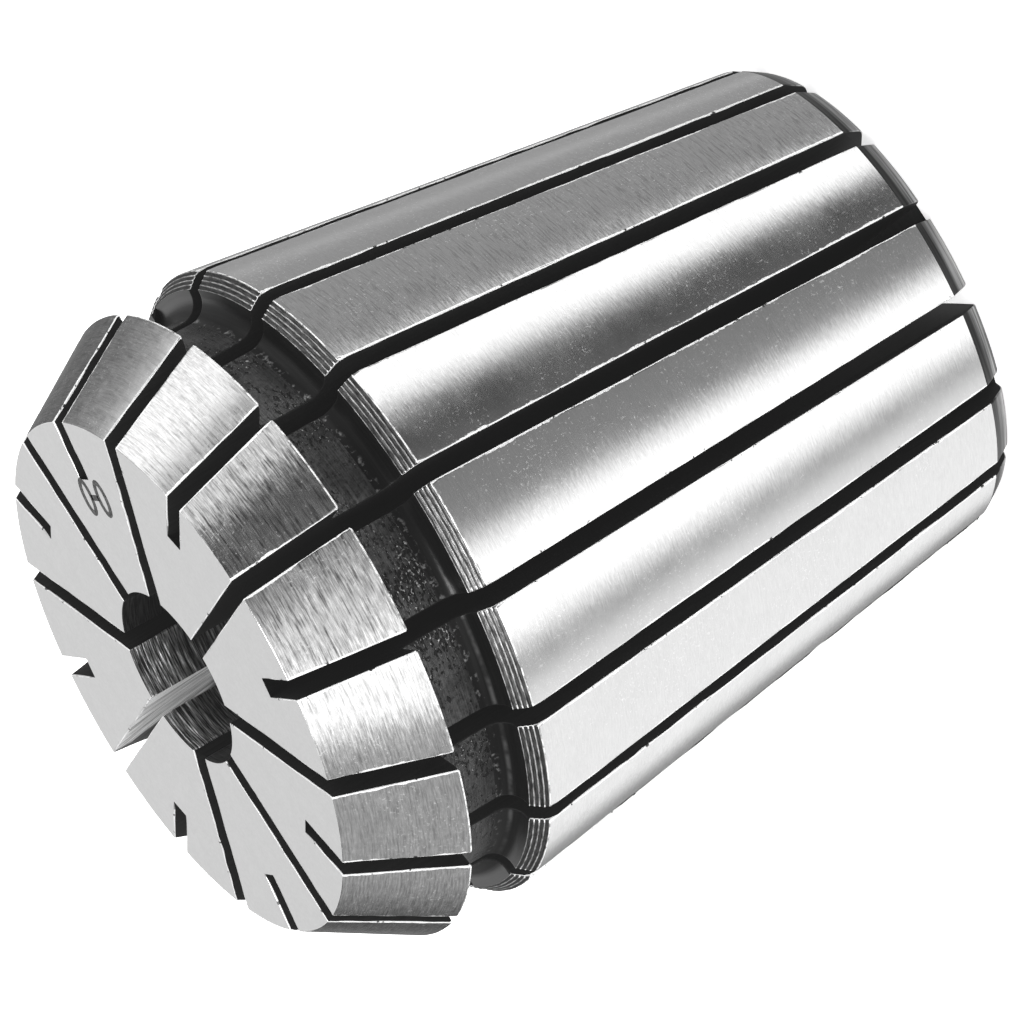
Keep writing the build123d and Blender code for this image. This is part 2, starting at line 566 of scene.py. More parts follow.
rear_gap = (rear_web_first, rear_web_last, REAR_WEB_R, False)
nose_gap = (nose_web_first, len(loop), NOSE_WEB_R, True)
even_walls = np.where(land == PAINTED_LIT_LAND, "rubbed", "slot")
add_wall(even, *rear_gap, even_angle, land_side, even_walls)
add_wall(odd, *nose_gap, odd_angle, -land_side, "slot")
print("patches:", len(patches))

# %% [markdown]
# All patches go into one mesh, because the collet is one piece of steel. Neighbours meet in the same
# points, so merging these closes the surface, and a count of the open edges proves it. Each face keeps
# the number of its finish.

# %% One mesh from all patches
MERGE_DISTANCE = 0.0004
SHARP_ANGLE = 38
FINISHES = [
    "cone", "taper", "face", "edge", "band", "crest", "groove", "fillet",
    "rear_chamfer", "rear_face", "bore", "slot", "rubbed",
]


def cell_corners(index):
    """Quads of grids: each cell takes its own corner and the next ones along the rows and the columns."""
    corners = [index[:, :-1, :-1], index[:, 1:, :-1], index[:, 1:, 1:], index[:, :-1, 1:]]
    return np.stack(corners, axis=-1).reshape(-1, 4)


def finish_numbers(finishes, count):
    """Place in the list of finishes for each of count faces. Names given for one land are repeated."""
    names, which = np.unique(finishes, return_inverse=True)
    numbers = np.array([FINISHES.index(name) for name in names])
    return np.resize(numbers[which.reshape(-1)], count)


def join_patches(name):
    """Puts every patch into one mesh, with a UV map and the rim in millimetres and one finish per face."""
    faces, finish_ids, smooth_flags = [], [], []
    start = 0
    for points, _, finishes, _, outline in patches:
        index = start + np.arange(points[..., 0].size).reshape(points.shape[:-1])
        start += index.size
        cells = index if outline else cell_corners(index)
        faces += cells.tolist()
        finish_ids.append(finish_numbers(finishes, len(cells)))
        smooth_flags.append(np.full(len(cells), not outline))
    points = np.concatenate([patch[0].reshape(-1, 3) for patch in patches]) * MM
    uv = np.concatenate([patch[1].reshape(-1, 2) for patch in patches])
    rim = np.concatenate([patch[3].reshape(-1) for patch in patches])
    mesh = bpy.data.meshes.new(name)
    mesh.from_pydata(points, [], faces)
    corner_vertex = np.empty(len(mesh.loops), dtype=np.int32)
    mesh.loops.foreach_get("vertex_index", corner_vertex)
    mesh.uv_layers.new(name="path")
    mesh.uv_layers["path"].data.foreach_set("uv", uv[corner_vertex].ravel())
    mesh.attributes.new("rim", "FLOAT", "POINT").data.foreach_set("value", rim)
    mesh.polygons.foreach_set("material_index", np.concatenate(finish_ids))
    mesh.polygons.foreach_set("use_smooth", np.concatenate(smooth_flags))
    return mesh


def close_mesh(mesh):
    """Merges the patches' shared rims and points every face outwards."""
    work = bmesh.new()
    work.from_mesh(mesh)
    bmesh.ops.remove_doubles(work, verts=work.verts, dist=MERGE_DISTANCE * MM)
    bmesh.ops.recalc_face_normals(work, faces=work.faces)
    open_edges = sum(1 for edge in work.edges if len(edge.link_faces) != 2)
    volume = work.calc_volume() / MM**3
    triangles = sum(len(face.verts) - 2 for face in work.faces)
    work.to_mesh(mesh)
    work.free()
    mesh.set_sharp_from_angle(angle=math.radians(SHARP_ANGLE))
    return open_edges, volume, triangles


body_mesh = join_patches("collet_body")
open_edges, volume, triangles = close_mesh(body_mesh)
print("open edges", open_edges, "volume", round(volume, 1), "mm3, triangles", triangles)

# %% The body's piece
body = bpy.data.objects.new("collet_body", body_mesh)
SCENE.collection.objects.link(body)
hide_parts("collet")
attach(body, "root")
print("body has", len(body_mesh.vertices), "vertices")

# %% [markdown]
# A finish is a small node tree. All of them start from the same base: metal with a base colour and a
# roughness, both varied by noise. The helpers here add and link nodes in one step, so that each finish
# below can be read like a recipe.

# %% Node helpers


def socket_label(key):
    """A socket's label from a Python name, such as Base Color from base_color."""
    return key.replace("_", " ").title().replace("Ior", "IOR")


class NodeTree:
    """Short ways to add and link nodes. Each kind of tree below sets its own tree and shader."""

    def node(self, kind, **settings):
        """New node. Settings that name an input set or link it, and the others are the node's properties."""
        node = self.tree.nodes.new(kind)
        for key, value in settings.items():
            if socket_label(key) in node.inputs:
                self.feed(node.inputs[socket_label(key)], value)
            else:
                setattr(node, key, value)
        return node

    def feed(self, socket, value):
        """Links an output to the socket, or sets the socket's value."""
        if isinstance(value, bpy.types.NodeSocket):
            self.tree.links.new(value, socket)
        else:
            socket.default_value = value

    def set(self, **inputs):
        """Sets or links inputs of the shader."""
        for key, value in inputs.items():
            self.feed(self.shader.inputs[socket_label(key)], value)

    def math(self, operation, first, second=0.0):
        """One arithmetic step."""
        node = self.node("ShaderNodeMath", operation=operation)
        self.feed(node.inputs[0], first)
        self.feed(node.inputs[1], second)
        return node.outputs[0]

    def plus(self, first, second):
        """Sum of two values."""
        return self.math("ADD", first, second)

    def minus(self, first, second):
        """First value less the second."""
        return self.math("SUBTRACT", first, second)

    def times(self, first, second):
        """Product of two values."""
        return self.math("MULTIPLY", first, second)

    def remap(self, value, low, high, start, end, smooth=False):
        """Value between low and high becomes start to end, and stays there outside."""
        node = self.node("ShaderNodeMapRange")
        node.interpolation_type = "SMOOTHSTEP" if smooth else "LINEAR"
        for socket, entry in zip(node.inputs, (value, low, high, start, end)):
            self.feed(socket, entry)
        return node.outputs[0]

    def blend(self, mask, start, end):
        """Start where the mask is 0 and end where it is 1."""
        return self.remap(mask, 0.0, 1.0, start, end)

    def grey(self, value):
        """Neutral grey from one value."""
        node = self.node("ShaderNodeCombineColor")
        for socket in node.inputs:
            self.feed(socket, value)
        return node.outputs[0]


print("base_color stands for the socket", socket_label("base_color"))

# %% [markdown]
# A pattern needs coordinates that belong to the collet. Marks of a tool read the UV map, which follows
# the tool's path, and are stretched along it. Dust, clouds and wear follow no tool, so they read the
# object's own coordinates. Both kinds are given in cells per millimetre.
# The darkest steel also gets a faint veil of light, as every lens adds one beside a white ground.

# %% Finish of a surface
VEIL_STRENGTH = 0.011


class Finish(NodeTree):
    """A material with patterns on the collet's own coordinates."""

    def __init__(self, name):
        self.material = bpy.data.materials.new(name)
        self.material.use_nodes = True
        self.tree = self.material.node_tree
        self.shader = self.tree.nodes["Principled BSDF"]

    def path(self, across, along):
        """UV coordinates scaled across (round the collet) and along (the profile), in cells per mm."""
        uv = self.node("ShaderNodeUVMap", uv_map="path")
        return self.node("ShaderNodeMapping", vector=uv.outputs["UV"], scale=(across, along, 1)).outputs[0]

    def place(self, per_mm, upward=None):
        """Object coordinates in cells per millimetre, with another number upward if one is given."""
        where = self.node("ShaderNodeTexCoord").outputs["Object"]
        size = (per_mm / MM, per_mm / MM, (upward or per_mm) / MM)
        return self.node("ShaderNodeMapping", vector=where, scale=size).outputs[0]

    def noise(self, vector, detail=3.0, rough=0.6):
        """Noise from 0 to 1 whose cells are one unit of the vector."""
        node = self.node("ShaderNodeTexNoise", vector=vector, scale=1.0, detail=detail, roughness=rough)
        return node.outputs[0]

    def height(self):
        """Height above the floor in millimetres."""
        return self.node("ShaderNodeSeparateXYZ", vector=self.place(1.0)).outputs[2]

    def along(self):
        """Distance along the profile in millimetres."""
        return self.node("ShaderNodeSeparateXYZ", vector=self.path(1.0, 1.0)).outputs[1]

    def vector(self, operation, first, second=(0, 0, 0)):
        """One step of vector arithmetic."""
        node = self.node("ShaderNodeVectorMath", operation=operation)
        self.feed(node.inputs[0], first)
        self.feed(node.inputs[1], second)
        return node.outputs["Value" if operation == "DOT_PRODUCT" else "Vector"]

    def toward(self, angle):
        """Cosine of the angle round the axis between a point and the given direction."""
        direction = (math.cos(math.radians(angle)), math.sin(math.radians(angle)), 0)
        level = self.vector("NORMALIZE", self.vector("MULTIPLY", self.place(1.0), (1, 1, 0)))
        return self.vector("DOT_PRODUCT", level, direction)

    def bump(self, height, distance):
        """Bump from a height of 0 to 1, whose full range is the distance in millimetres."""
        node = self.node("ShaderNodeBump", strength=1.0, distance=distance * MM, height=height)
        self.feed(self.shader.inputs["Normal"], node.outputs[0])

    def tilt(self, around, along, around_degrees, along_degrees, strength=1.0):
        """Tilts the surface by two noises: a noise of 0.3 or 0.7 turns the normal by that many degrees."""
        color = self.node("ShaderNodeCombineColor")
        for socket, noise, degrees in zip(color.inputs, (around, along), (around_degrees, along_degrees)):
            reach = math.tan(math.radians(degrees)) / 2
            self.feed(socket, self.remap(noise, 0.3, 0.7, 0.5 - reach, 0.5 + reach))
        self.feed(color.inputs[2], 1.0)
        normal = self.node("ShaderNodeNormalMap", uv_map="path", color=color.outputs[0], strength=strength)
        self.feed(self.shader.inputs["Normal"], normal.outputs[0])

    def veil(self):
        """Faint light of its own."""
        self.set(emission_color=(1, 1, 1, 1), emission_strength=VEIL_STRENGTH)


print("helpers of a finish:", [name for name in vars(Finish) if not name.startswith("_")])

# %% [markdown]
# Two kinds of wear belong to every ground surface. Beside the slots the steel is bare in a thin line
# whose width changes from place to place, and here and there a small dark notch bites into it. The line's
# near-white grey is partly that bare steel and partly a painted highlight of the broken edge. Both are
# masks of the distance from the slot, which the mesh carries with every point.

# %% Wear beside the slots
# Near-white grey of the line beside the slots: partly bare steel, partly a painted highlight.
BARE_GLINT_GREY = 0.97
BARE_METALLIC = 0.3


def slot_distance(finish):
    """Distance from the slot's wall in millimetres."""
    return finish.node("ShaderNodeAttribute", attribute_name="rim").outputs["Fac"]


def frayed_line(finish, reach):
    """Mask of the broken edge: 1 within a distance from the slot that a fine and a slow noise vary. The
    line it marks is bare steel with a painted highlight.
    """
    fine = finish.remap(finish.noise(finish.place(2.5)), 0.36, 0.64, 0.35, 1.0)
    slow = finish.remap(finish.noise(finish.place(0.35), detail=1.0), 0.36, 0.56, 0.15, 1.0)
    limit = finish.times(finish.times(fine, slow), reach)
    return finish.remap(finish.minus(slot_distance(finish), limit), 0.005, 0.03, 1.0, 0.0)


def nicks(finish):
    """Mask of the small dark notches beside a slot."""
    notch = finish.remap(finish.noise(finish.place(2.6), detail=2.0), 0.64, 0.68, 0.0, 1.0)
    return finish.times(notch, finish.remap(slot_distance(finish), 0.06, 0.16, 1.0, 0.0))


print("bare steel beside the slots has the grey", BARE_GLINT_GREY)

# %% [markdown]
# Ground steel shows the wheel's path as hairlines round the collet. A bump would tilt them only along the
# axis. A real hairline also leans a little along its own length, and that is what frays the border of a
# reflection. So two stretched noises tilt the normal in both directions, by angles that can be set apart.

# %% Ground steel


def ground_steel(name, grey, contrast, lean, hairs, hair_length, rough_side, border, rougher, scratches):
    """Steel ground round the axis: hairlines per millimetre along the profile, their length and their
    lean. Towards one side the wheel has cut rougher by a factor, and that side's border lies between two
    angles. Scratches are how dark the deeper lines are elsewhere and on that side."""
    finish = Finish(name)
    fine = finish.noise(finish.path(1 / hair_length, hairs), rough=0.7)
    second = finish.noise(finish.path(0.8 / hair_length, hairs * 1.3), rough=0.7)
    broad = finish.noise(finish.path(0.4 / hair_length, hairs / 4), detail=2.0)
    deep = finish.noise(finish.path(0.5 / hair_length, hairs * 0.75), detail=2.0)
    outer, inner = (math.cos(math.radians(angle)) for angle in border)
    rough = finish.remap(finish.toward(rough_side), outer, inner, 0.0, 1.0, smooth=True)
    coarse = finish.blend(rough, 1.0, rougher)
    dusty = finish.remap(finish.noise(finish.place(0.25), detail=1.0), 0.4, 0.6, -0.04, 0.03)
    dust = finish.plus(finish.noise(finish.place(8.0), detail=1.0), dusty)
    speck = finish.remap(dust, 0.64, 0.76, 0.0, 0.32)
    scatter = finish.math("MAXIMUM", speck, frayed_line(finish, 0.15))
    streak = finish.plus(finish.times(fine, 0.75), finish.times(broad, 0.25))
    swing = finish.times(finish.remap(streak, 0.35, 0.65, -contrast, contrast), coarse)
    uneven = contrast / 4
    mottle = finish.remap(finish.noise(finish.place(2.0)), 0.35, 0.65, grey - uneven, grey + uneven)
    line = finish.times(finish.remap(deep, 0.54, 0.62, 0.0, 1.0), finish.blend(rough, *scratches))
    tone = finish.minus(finish.plus(swing, mottle), line)
    notched = finish.blend(nicks(finish), 1.0, 0.05)
    # The bare line's near-white grey is partly a painted highlight of the broken edge.
    finish.set(
        base_color=finish.grey(finish.times(finish.blend(scatter, tone, BARE_GLINT_GREY), notched)),
        metallic=finish.blend(scatter, 1.0, BARE_METALLIC),
        roughness=finish.remap(finish.noise(finish.place(0.5)), 0.3, 0.7, 0.18, 0.25),
        anisotropic=0.4,
        anisotropic_rotation=0.25,
    )
    tangent = finish.node("ShaderNodeTangent", direction_type="UV_MAP", uv_map="path")
    finish.feed(finish.shader.inputs["Tangent"], tangent.outputs[0])
    steady = finish.times(finish.blend(scatter, 1.0, 0.2), coarse)
    finish.tilt(fine, second, lean, lean * 1.5, steady)
    return finish.material


cone_steel = ground_steel(
    "ground_cone", grey=0.65, contrast=0.19, lean=1.5, hairs=11.0, hair_length=0.9,
    rough_side=-88, border=(37, 14), rougher=1.2, scratches=(0.07, 0.29),
)
taper_steel = ground_steel(
    "ground_taper", grey=0.64, contrast=0.03, lean=0.7, hairs=12.0, hair_length=0.6,
    rough_side=-59, border=(15, 4), rougher=2.4, scratches=(0.0, 0.14),
)
print("ground finishes:", cone_steel.name, taper_steel.name)

# %% [markdown]
# The nose face is lapped: it has no direction, only a soft mottling. The broken edges are brighter and
# rougher than what they border, because a stone or a brush has just passed over them. Their light grey,
# which scatters light from everywhere and stays white from any side, is partly a painted highlight.

# %% Lapped face and bright edges


def lapped_face():
    """Even satin grey with faint clouds of about a millimetre and a finer grain."""
    finish = Finish("lapped_face")
    clouds = finish.noise(finish.place(1.0), detail=4.0)
    grain = finish.noise(finish.place(5.0), detail=2.0)
    tone = finish.plus(finish.times(clouds, 0.6), finish.times(grain, 0.4))
    satin = finish.remap(tone, 0.35, 0.65, 0.54, 0.61)
    # The line beside the slots is bare steel whose light grey is partly a painted highlight.
    bare_and_lit = frayed_line(finish, 0.05)
    notched = finish.blend(nicks(finish), 1.0, 0.1)
    finish.set(
        base_color=finish.grey(finish.times(finish.blend(bare_and_lit, satin, 0.8), notched)),
        metallic=finish.blend(bare_and_lit, 1.0, BARE_METALLIC),
        roughness=finish.remap(clouds, 0.3, 0.7, 0.34, 0.42),
    )
    finish.bump(tone, 0.006)
    return finish.material


def bright_edge():
    """Back edge of the cone and widest ring of the body, where the steel is bare and its light grey is
    partly a painted highlight.
    """
    finish = Finish("bright_edge")
    gaps = finish.noise(finish.place(2.2))
    # Light grey between the gaps: partly bare steel, partly a painted highlight of the edge.
    finish.set(
        base_color=finish.grey(finish.remap(gaps, 0.38, 0.52, 0.3, 1.0)),
        metallic=BARE_METALLIC,
        roughness=0.35,
    )
    finish.bump(gaps, 0.01)
    return finish.material


face_steel = lapped_face()
edge_steel = bright_edge()
print("face finishes:", face_steel.name, edge_steel.name)

# %% [markdown]
# The groove keeps the black skin from hardening. Its turned floor is rough: where a noise passes a
# threshold it sinks into a pit, and where another one does, a grain has been rubbed bright. A slow noise
# moves both thresholds, so that pits and grains gather in patches. Towards the fillet the floor gets a
# painted shade. The fillet beside it is smooth, and is painted darker still as shade in its corner.

# %% Blackened groove
# Sides are directions round the axis in degrees, and the others are millimetres along the profile.
GROOVE_FOOT = start_of("groove") + NOSE_R - GROOVE_FLOOR_R
PITTED_SIDE = -111
LIT_SIDE = -140
# Distance of the painted dotted highlight from the start of the fillet.
GLINT_LINE = 0.15
LIT_RING = 0.75


def black_groove():
    """Dark rings, darker pits and bright grains, thickest round one side, with a painted shade that darkens
    them towards the fillet.
    """
    finish = Finish("black_groove")
    turned = finish.noise(finish.path(0.5, 12.0), rough=0.7)
    grain = finish.noise(finish.place(4.0), detail=4.0, rough=0.7)
    cloudy = finish.remap(finish.noise(finish.place(0.4), detail=1.0), 0.4, 0.6, -0.1, 0.04)
    where = finish.plus(cloudy, finish.remap(finish.toward(PITTED_SIDE), 0.955, 0.995, 0.0, 0.09))
    holes = finish.noise(finish.path(3.0, 5.0), detail=1.5)
    pit = finish.remap(finish.plus(holes, where), 0.585, 0.68, 0.0, 1.0)
    stars = finish.noise(finish.path(5.0, 7.0), detail=1.0)
    star = finish.remap(finish.plus(stars, where), 0.68, 0.78, 0.0, 0.9)
    value = finish.plus(finish.times(turned, 0.5), finish.times(grain, 0.5))
    shade = finish.remap(finish.noise(finish.place(0.5), detail=2.0), 0.38, 0.62, 0.45, 1.2)
    floor_end = GROOVE_FOOT + GROOVE_WIDTH - GROOVE_FILLET
    # Painted shade: the floor darkens towards the fillet's corner.
    fade = finish.remap(finish.along(), GROOVE_FOOT, floor_end, 1.15, 0.5)
    dark = finish.times(finish.remap(value, 0.4, 0.6, 0.018, 0.11), finish.times(shade, fade))
    pitted = finish.times(dark, finish.blend(pit, 1.0, 0.15))
    finish.set(
        base_color=finish.grey(finish.blend(star, pitted, 0.6)),
        metallic=0.6,
        roughness=finish.remap(grain, 0.35, 0.65, 0.25, 0.5),
    )
    finish.bump(finish.minus(finish.plus(value, star), pit), 0.07)
    finish.veil()
    return finish.material


def black_fillet():
    """Smooth black, darker than the floor's as a painted shade, with a thin broken ring of light. Where it
    leaves the floor, a dotted line is a painted highlight.
    """
    finish = Finish("black_fillet")
    rings = finish.noise(finish.path(0.2, 5.0))
    way = finish.minus(finish.along(), start_of("fillet"))
    # Painted highlight: a dotted bright line where the fillet leaves the floor.
    dots = finish.remap(finish.noise(finish.place(3.0)), 0.55, 0.75, 0.0, 1.0)
    off_line = finish.math("ABSOLUTE", finish.minus(way, GLINT_LINE))
    painted_light = finish.times(finish.remap(off_line, 0.05, 0.25, 1.0, 0.0), dots)
    lit_side = finish.remap(finish.toward(LIT_SIDE), 0.75, 0.95, 0.0, 0.1)
    broken = finish.remap(finish.noise(finish.place(1.0), detail=2.0), 0.4, 0.6, 0.2, 1.0)
    off_ring = finish.math("ABSOLUTE", finish.minus(way, LIT_RING))
    ring = finish.remap(off_ring, 0.03, 0.16, finish.times(lit_side, broken), 0.0)
    # The fillet's black is darker than the floor's: a painted shade in the corner.
    black = finish.plus(finish.remap(rings, 0.35, 0.65, 0.002, 0.009), ring)
    finish.set(
        base_color=finish.grey(finish.blend(painted_light, black, 0.35)),
        metallic=0.5,
        roughness=0.28,
        specular_ior_level=0.2,
    )
    finish.bump(rings, 0.006)
    finish.veil()
    return finish.material


groove_steel = black_groove()
fillet_steel = black_fillet()
print("the groove's floor begins", round(GROOVE_FOOT, 2), "mm along the profile")

# %% [markdown]
# The saw left the slots' walls rough and hardening left them black, apart from one wall that is painted
# lit instead, with a light grey and a glow of its own. Each stroke of a round saw is an arc, so on that wall
# the noise runs over the height at which the saw's centre stood when its edge passed. The painted light
# lies only near the nose and near the bore, where light reaches the wall.

# %% Finishes of the slot walls
STROKES_PER_MM = 2.6
# Strength of the glow painted on the lit wall, which is no lamp.
WALL_GLOW = 0.16


def black_slot():
    """Sawn walls, black from hardening."""
    finish = Finish("black_slot")
    marks = finish.noise(finish.path(0.35, 5.0), detail=4.0, rough=0.7)
    finish.set(
        base_color=finish.grey(finish.remap(marks, 0.3, 0.7, 0.008, 0.02)),
        metallic=0.5,
        roughness=0.6,
        specular_ior_level=0.2,
    )
    finish.veil()
    return finish.material


def painted_lit_wall():
    """Sawn wall with painted light: a light grey and a glow. Height less the root of the saw's radius
    squared minus the distance from the saw's centre squared is the same along each stroke. The painted light
    and glow stand for the light that enters the bore and keeps the wall bright."""
    finish = Finish("painted_lit_wall")
    height, out = finish.node("ShaderNodeSeparateXYZ", vector=finish.path(1.0, 1.0)).outputs[:2]
    inward = finish.minus(SAW_CENTER_R, out)
    rise = finish.math("SQRT", finish.minus(SAW_R**2, finish.times(inward, inward)))
    stroke = finish.times(finish.minus(height, rise), STROKES_PER_MM)
    lanes = finish.node("ShaderNodeCombineXYZ", x=stroke, y=finish.times(out, 0.25))
    strokes = finish.noise(lanes.outputs[0], detail=4.0, rough=0.7)
    # Painted light: bright near the nose face and near the bore, darker deeper in the slot.
    upper = finish.remap(height, 34.5, 35.5, 0.05, 1.0, smooth=True)
    beyond = finish.minus(out, finish.remap(height, 37.0, 39.0, 10.5, 12.8))
    bare_and_lit = finish.times(upper, finish.remap(beyond, 0.0, 0.7, 1.0, 0.1, smooth=True))
    tone = finish.times(bare_and_lit, finish.remap(strokes, 0.38, 0.62, 0.3, 1.0))
    finish.set(
        base_color=finish.grey(tone),
        metallic=0.1,
        roughness=0.6,
        emission_color=(1, 1, 1, 1),
        emission_strength=finish.times(tone, WALL_GLOW),
    )
    return finish.material


slot_steel = black_slot()
lit_wall_steel = painted_lit_wall()
print("slot finishes:", slot_steel.name, lit_wall_steel.name)

# %% [markdown]
# The band, the chamfer and the rear face show the lathe's lines. Each of them is a noise that is long
# round the axis and short along the profile. They differ in how far their greys lie apart, and in where
# the black skin has gone.

# %% Turned band and rear end


def turned_band(name, dark, light, metallic, reach):
    """The band's blackened hollows, or with lighter greys its crests, which were ground bright. Their ends
    beside the slots are bare within a reach, in a near-white grey that is partly a painted highlight."""
    finish = Finish(name)
    lines = finish.noise(finish.path(1.6, 9.0), rough=0.7)
    # The crests' ends beside the slots are bare steel whose light grey is partly a painted highlight.
    bare_and_lit = frayed_line(finish, reach)
    turned = finish.remap(lines, 0.38, 0.66, dark, light)
    finish.set(
        base_color=finish.grey(finish.blend(bare_and_lit, turned, BARE_GLINT_GREY)),
        metallic=finish.blend(bare_and_lit, metallic, BARE_METALLIC),
        roughness=0.35,
    )
    finish.bump(lines, 0.01)
    finish.veil()
    return finish.material


def rear_chamfer():
    """Turned chamfer: black where it leaves the taper, and lighter rings towards the rear face."""
    finish = Finish("turned_chamfer")
    fade = finish.remap(finish.along(), start_of("rear_chamfer") + 0.4, start_of("rear_face"), 0.03, 0.9)
    rings = finish.noise(finish.path(0.15, 5.0), rough=0.7)
    finish.set(
        base_color=finish.grey(finish.times(fade, finish.remap(rings, 0.38, 0.62, 0.35, 1.4))),
        metallic=0.8,
        roughness=0.35,
    )
    finish.bump(rings, 0.008)
    finish.veil()
    return finish.material


def turned_rear():
    """Rear face as it came from the lathe, in even grey rings."""
    finish = Finish("turned_rear")
    lines = finish.noise(finish.path(0.15, 10.0))
    finish.set(
        base_color=finish.grey(finish.remap(lines, 0.3, 0.7, 0.45, 0.58)),
        metallic=1.0,
        roughness=0.35,
    )
    finish.bump(lines, 0.005)
    return finish.material


hollow_steel = turned_band("band_hollows", 0.02, 0.12, 0.9, 0.0)
crest_steel = turned_band("band_crests", 0.1, 0.9, 0.6, 0.3)
chamfer_steel = rear_chamfer()
rear_steel = turned_rear()
print("turned finishes:", hollow_steel.name, crest_steel.name, chamfer_steel.name, rear_steel.name)

# %% [markdown]
# The bore is black from hardening, but tools that were turned in it have scratched one side. That side is
# also painted lighter as the side that light reaches, and brighter still towards the nose, where light
# enters. A scratch runs level, so the noise changes quickly with the height and slowly across it. It tilts
# the surface too, because the camera sees the bore at a flat angle and a scratch shows there by its glint.

# %% Reamed bore
# Side of the bore with the scratches, which is also painted lighter as the lit side.
BORE_LIT_SCRATCHED_SIDE = 90


def reamed_bore():
    """Black with level scratches on one side, which is painted lighter as the lit side. Towards the nose,
    where light enters, it is painted brighter still.
    """
    finish = Finish("reamed_bore")
    fine = finish.noise(finish.place(0.8, 13.0))
    second = finish.noise(finish.place(1.5, 7.0))
    # Painted light: one side is lighter, and that is where the scratches are.
    lit_and_scratched = finish.remap(finish.toward(BORE_LIT_SCRATCHED_SIDE), 0.67, 0.76, 0.12, 1.0)
    # Painted light: brighter towards the nose, where light enters the bore.
    painted_light = finish.remap(finish.height(), 37.0, 39.9, 0.4, 1.4)
    tone = finish.times(finish.remap(fine, 0.4, 0.7, 0.1, 0.95), painted_light)
    finish.set(
        base_color=finish.grey(finish.times(tone, lit_and_scratched)),
        metallic=0.9,
        roughness=0.35,
    )
    finish.tilt(second, fine, 6.0, 18.0, lit_and_scratched)
    finish.veil()
    return finish.material


bore_steel = reamed_bore()
print("the bore is scratched towards", BORE_LIT_SCRATCHED_SIDE, "degrees")

# %% [markdown]
# Each face already holds the number of its finish. The materials only have to be appended in the same
# order, so that the numbers find them.

# %% Finishes on the body
finish_of = {
    "cone": cone_steel,
    "taper": taper_steel,
    "face": face_steel,
    "edge": edge_steel,
    "band": hollow_steel,
    "crest": crest_steel,
    "groove": groove_steel,
    "fillet": fillet_steel,
    "rear_chamfer": chamfer_steel,
    "rear_face": rear_steel,
    "bore": bore_steel,
    "slot": slot_steel,
    "rubbed": lit_wall_steel,
}
for finish_name in FINISHES:
    body_mesh.materials.append(finish_of[finish_name])
print("finishes on the body:", len(body_mesh.materials))

# %% [markdown]
# A small plain mark stands on the nose face beside the end of one short slot: two noughts and a dash, as
# an engraver's first pass leaves them. It is a stroke of constant width carried along each path. It stands
# proud of the face by a hundredth of a millimetre, with its foot sunk a little into the steel, because a
# shape that can be seen should be in the mesh and not only in a material.

# %% Strokes of the mark
GLYPH_HEIGHT = 2.0
GLYPH_WIDTH = 1.15
GLYPH_PITCH = 1.7
STROKE = 0.3
MARK_FOOT = 0.01


def nought(center, steps=40):
    """Closed oval of points: width times the cosine and height times the sine, halved for the stroke."""
    angles = np.linspace(0, 2 * np.pi, steps, endpoint=False)
    reach = (np.array([GLYPH_WIDTH, GLYPH_HEIGHT]) - STROKE) / 2
    return np.array([center, 0]) + reach * np.stack([np.cos(angles), np.sin(angles)], axis=1)


def stroke_solid(path, closed):
    """Vertices and quads of a stroke: at each point two edges beside the path, half a stroke away along
    the normal, at the foot and at the top."""
    ahead = np.roll(path, -1, axis=0) - np.roll(path, 1, axis=0)
    if not closed:
        ahead[[0, -1]] = path[[1, -1]] - path[[0, -2]]
    ahead /= np.linalg.norm(ahead, axis=1, keepdims=True)
    side = np.stack([-ahead[:, 1], ahead[:, 0]], axis=1) * STROKE / 2
    ring = np.stack([path - side, path + side, path + side, path - side], axis=1)
    level = np.broadcast_to([FACE_Z - MARK_FOOT, FACE_Z - MARK_FOOT, LENGTH, LENGTH], ring.shape[:2])
    points = np.concatenate([ring, level[..., None]], axis=2).reshape(-1, 3)
    start = np.arange(len(path) if closed else len(path) - 1)[:, None] * 4
    corner = np.arange(4)
    after = (corner + 1) % 4
    quads = np.stack([start + corner, start + after, start + 4 + after, start + 4 + corner], axis=2)
    quads = quads.reshape(-1, 4) % len(points)
    if not closed:
        last = len(points) - 4
        quads = np.concatenate([quads, [[3, 2, 1, 0]], [[last, last + 1, last + 2, last + 3]]])
    return points, quads


print("a nought has", len(stroke_solid(nought(0), True)[1]), "faces")

# %% Mark on the nose face
MARK_R = 9.5
MARK_ANGLE = -24.3


def size_mark():
    """The three strokes on the face, turned so that the glyphs' tops point to the rim."""
    half = GLYPH_PITCH / 2
    dash_reach = half - GLYPH_WIDTH / 2 + STROKE / 2
    dash = np.array([(-dash_reach, 0), (dash_reach, 0)])
    points, quads, start = [], [], 0
    for path, closed in ((nought(-half), True), (dash, False), (nought(half), True)):
        stroke_points, stroke_quads = stroke_solid(path, closed)
        points.append(stroke_points)
        quads.append(stroke_quads + start)
        start += len(stroke_points)
    local = np.concatenate(points)
    angle = math.radians(MARK_ANGLE)
    out, along = MARK_R + local[:, 1], -local[:, 0]
    x = out * math.cos(angle) - along * math.sin(angle)
    y = out * math.sin(angle) + along * math.cos(angle)
    mesh = bpy.data.meshes.new("size_mark")
    mesh.from_pydata(np.stack([x, y, local[:, 2]], axis=1) * MM, [], np.concatenate(quads).tolist())
    work = bmesh.new()
    work.from_mesh(mesh)
    bmesh.ops.recalc_face_normals(work, faces=work.faces)
    work.to_mesh(mesh)
    work.free()
    return mesh


